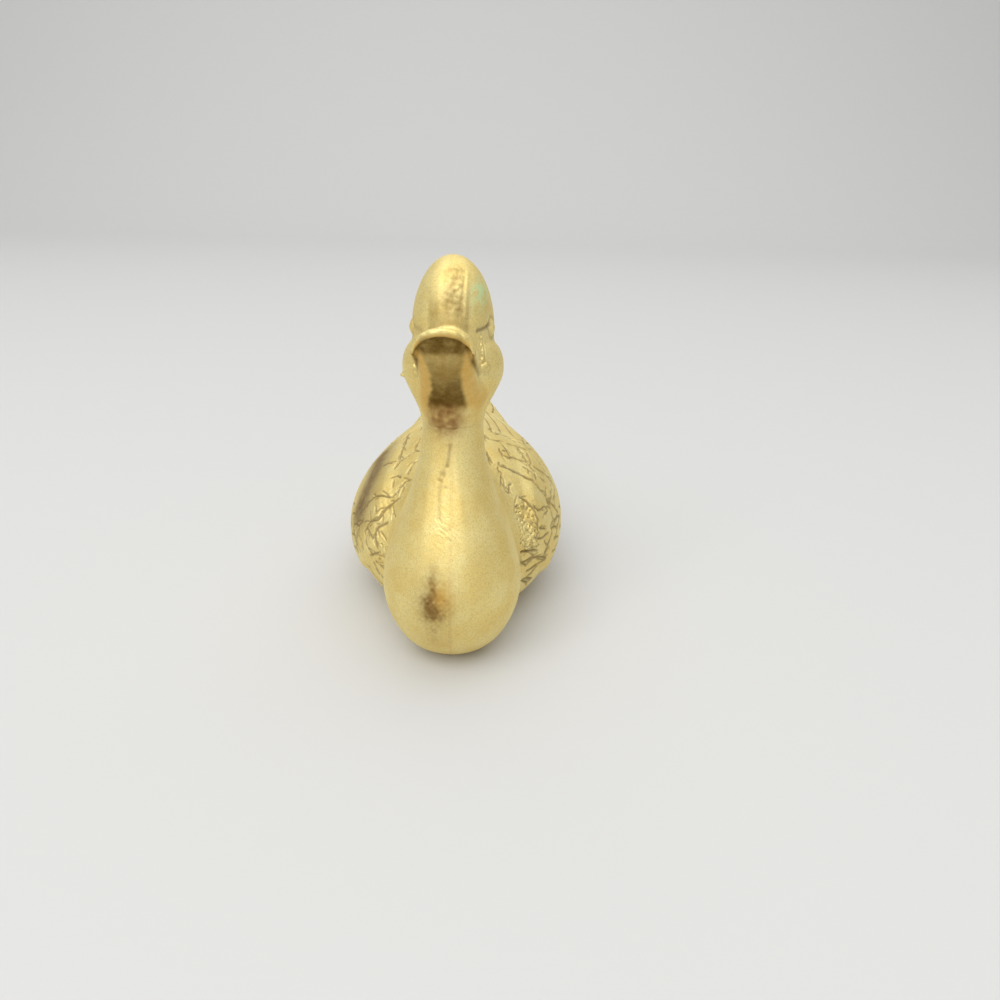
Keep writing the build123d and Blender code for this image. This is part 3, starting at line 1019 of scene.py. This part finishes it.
class Nodes:
    """A short way to add shader nodes and join them."""

    def __init__(self, material):
        material.use_nodes = True
        self.tree = material.node_tree
        self.shader = self.tree.nodes["Principled BSDF"]

    def add(self, kind, output, settings=None, **inputs):
        node = self.tree.nodes.new(kind)
        for name, value in (settings or {}).items():
            setattr(node, name, value)
        for name, value in inputs.items():
            self.set(node.inputs[name.replace("_", " ")], value)
        return node.outputs[output]

    def set(self, socket, value):
        if isinstance(value, bpy.types.NodeSocket):
            self.tree.links.new(value, socket)
        else:
            socket.default_value = value

    def noise(self, scale, detail=3.0, roughness=0.55, vector=None):
        place = vector or self.add("ShaderNodeTexCoord", "Object")
        return self.add(
            "ShaderNodeTexNoise", "Fac", Vector=place, Scale=scale, Detail=detail, Roughness=roughness)

    def ramp(self, value, low, high, start=0.0, end=1.0):
        node = self.tree.nodes.new("ShaderNodeMapRange")
        for socket, given in zip(node.inputs, (value, low, high, start, end)):
            self.set(socket, given)
        return node.outputs["Result"]

    def calculate(self, operation, a, b):
        node = self.tree.nodes.new("ShaderNodeMath")
        node.operation = operation
        self.set(node.inputs[0], a)
        self.set(node.inputs[1], b)
        return node.outputs[0]

    def plus(self, a, b):
        return self.calculate("ADD", a, b)

    def times(self, a, b):
        return self.calculate("MULTIPLY", a, b)

    def tint(self, colour, other, share):
        """A mix towards another colour. The colour sockets of a mix node are its inputs 6 and 7."""
        node = self.tree.nodes.new("ShaderNodeMix")
        node.data_type = "RGBA"
        self.set(node.inputs[0], share)
        self.set(node.inputs[6], colour)
        self.set(node.inputs[7], other)
        return node.outputs[2]

    def painted(self, name):
        return self.add("ShaderNodeAttribute", "Fac", {"attribute_name": name})


def brass(name, pale, warm):
    """Satin cast brass: blotched, speckled, dark in its cuts with grime and painted shade, and stained,
    shaded and tinted by painted reflections where the maps say.
    """
    material = bpy.data.materials.new(name)
    nodes = Nodes(material)
    blotch = nodes.ramp(nodes.noise(140, 4), 0.38, 0.62)
    grain = nodes.noise(2600, 2)
    speck = nodes.ramp(grain, 0.45, 0.75)
    patches = nodes.noise(520, 5, 0.65)
    colour = nodes.tint(pale, warm, blotch)
    colour = nodes.tint(colour, (0.36, 0.25, 0.09, 1), nodes.times(speck, 0.3))
    # Grime and painted shade darken the hollows and dull their metal.
    grime_and_shade = nodes.painted("cavity")
    colour = nodes.tint(colour, (0.17, 0.105, 0.03, 1), nodes.times(grime_and_shade, 0.7))
    ragged = nodes.ramp(patches, 0.3, 0.6, 0.75, 1.0)
    # The orange map paints a stain on the breast and a reflection on the throat, and the shade map paints
    # shade, a dark reflection and dirt under the bill.
    map_colours = (
        ("brown", (0.22, 0.105, 0.02, 1), 0.92),
        ("orange", (0.70, 0.43, 0.10, 1), 0.6),
        ("scorch", (0.31, 0.155, 0.05, 1), 0.9),
        ("tarnish", (0.18, 0.10, 0.05, 1), 0.85),
        ("green", (0.58, 0.86, 0.56, 1), 0.7),
        ("dark", (0.20, 0.115, 0.02, 1), 0.95),
    )
    dulled = 0.0
    for map_name, stain, strength in map_colours:
        share = nodes.times(nodes.times(nodes.painted(map_name), ragged), strength)
        colour = nodes.tint(colour, stain, share)
        dulled = nodes.plus(dulled, share)
    nodes.set(nodes.shader.inputs["Base Color"], colour)
    nodes.set(nodes.shader.inputs["Metallic"], nodes.ramp(grime_and_shade, 0.0, 1.0, 1.0, 0.4))
    satin = nodes.ramp(patches, 0.3, 0.7, 0.59, 0.67)
    nodes.set(nodes.shader.inputs["Roughness"], nodes.plus(satin, nodes.times(dulled, 0.14)))
    # Sand-cast grain, soft hammering and the file's scratches.
    along_file = nodes.add(
        "ShaderNodeMapping", "Vector", {"vector_type": "TEXTURE"},
        Vector=nodes.add("ShaderNodeTexCoord", "Object"),
        Rotation=(0, math.radians(-40), 0),
        Scale=(1, 1, 16))
    scratches = nodes.times(nodes.noise(1500, 1, vector=along_file), nodes.painted("filed"))
    cast_grain = nodes.plus(nodes.times(grain, 0.8), nodes.times(patches, 0.6))
    relief = nodes.plus(cast_grain, nodes.times(scratches, 4.0))
    bump = nodes.add("ShaderNodeBump", "Normal", Height=relief, Strength=0.5, Distance=0.0001)
    nodes.set(nodes.shader.inputs["Normal"], bump)
    return material


cast_brass = brass("cast_brass", (0.88, 0.755, 0.35, 1), (0.84, 0.675, 0.265, 1))
braze_filler = brass("braze_filler", (0.87, 0.735, 0.345, 1), (0.80, 0.62, 0.24, 1))

# The parts, cut level at the floor and at the neck joint.

floor_plane = ((0, 0, 0), (0, 0, -1))
neck_top = ((0, 0, neck_joint_height), (0, 0, 1))
head_bottom = ((0, 0, neck_joint_height), (0, 0, -1))
body_points, body_quads = body_skin()
body_points, body_maps = dress_body(body_points, body_quads)
seamed_pieces("body", body_points, body_quads, body_maps, (floor_plane, neck_top))
head_points, head_quads = head_skin()
head_points, head_maps = dress_head(head_points, head_quads)
seamed_pieces("head", head_points, head_quads, head_maps, (head_bottom,), head_turn, head_lean)
neck_bead()


# Camera: where the photograph was taken from.

camera_place = (6.1, -205.0, 120.0)
camera_yaw = math.radians(-1.9)
camera_pitch = math.radians(24.9)
camera_roll = math.radians(1.7)
focal_pixels = 751.0
image_pixels = 1000.0
camera_data = bpy.data.cameras.new("camera")
camera_data.sensor_width = 36.0
camera_data.lens = focal_pixels / image_pixels * camera_data.sensor_width
camera_data.clip_start = 0.01
camera = bpy.data.objects.new("camera", camera_data)
bpy.context.collection.objects.link(camera)
upright = Vector((0, 0, 1))
level = Vector((-math.sin(camera_yaw), math.cos(camera_yaw), 0))
across = Vector((math.cos(camera_yaw), math.sin(camera_yaw), 0))
ahead = level * math.cos(camera_pitch) - upright * math.sin(camera_pitch)
above = level * math.sin(camera_pitch) + upright * math.cos(camera_pitch)
camera_right = across * math.cos(camera_roll) + above * math.sin(camera_roll)
camera_up = above * math.cos(camera_roll) - across * math.sin(camera_roll)
turned = Matrix((camera_right, camera_up, -ahead)).transposed()
camera.matrix_world = Matrix.Translation(Vector(camera_place) * mm) @ turned.to_4x4()
bpy.context.scene.camera = camera


# Stage: a pale floor that sweeps up into a backdrop, and soft light.

def sweep():
    half_width, front, bend_start, bend_radius, top = 3.0, -2.0, 0.9, 0.6, 2.5
    profile = [(front, 0.0), (bend_start, 0.0)]
    for k in range(1, 25):
        angle = math.radians(90 * k / 24)
        profile.append((bend_start + bend_radius * math.sin(angle), bend_radius * (1 - math.cos(angle))))
    profile.append((bend_start + bend_radius, top))
    points = [(side * half_width, y, z) for y, z in profile for side in (-1, 1)]
    faces = [(2 * i, 2 * i + 1, 2 * i + 3, 2 * i + 2) for i in range(len(profile) - 1)]
    mesh = bpy.data.meshes.new("floor")
    mesh.from_pydata(points, [], faces)
    mesh.shade_smooth()
    material = bpy.data.materials.new("floor")
    material.use_nodes = True
    shader = material.node_tree.nodes["Principled BSDF"]
    shader.inputs["Base Color"].default_value = (0.57, 0.57, 0.56, 1)
    shader.inputs["Roughness"].default_value = 0.9
    mesh.materials.append(material)
    floor = bpy.data.objects.new("floor", mesh)
    bpy.context.collection.objects.link(floor)


def soft_light(name, place, width, height, power):
    data = bpy.data.lights.new(name, "AREA")
    data.shape = "RECTANGLE"
    data.energy = power
    data.size = width
    data.size_y = height
    lamp = bpy.data.objects.new(name, data)
    lamp.location = place
    aim = Vector((0, 0, 0.05)) - Vector(place)
    lamp.rotation_euler = aim.to_track_quat("-Z", "Y").to_euler()
    bpy.context.collection.objects.link(lamp)


sweep()
soft_light("front", (-0.4, -1.0, 1.3), 1.7, 1.1, 20.5)
soft_light("overhead", (0.1, 0.3, 1.5), 2.2, 2.2, 16)
world = bpy.data.worlds.new("studio")
world.use_nodes = True
world.node_tree.nodes["Background"].inputs["Color"].default_value = (0.8, 0.8, 0.8, 1)
world.node_tree.nodes["Background"].inputs["Strength"].default_value = 0.62
bpy.context.scene.world = world
bpy.context.scene.view_settings.view_transform = "Standard"
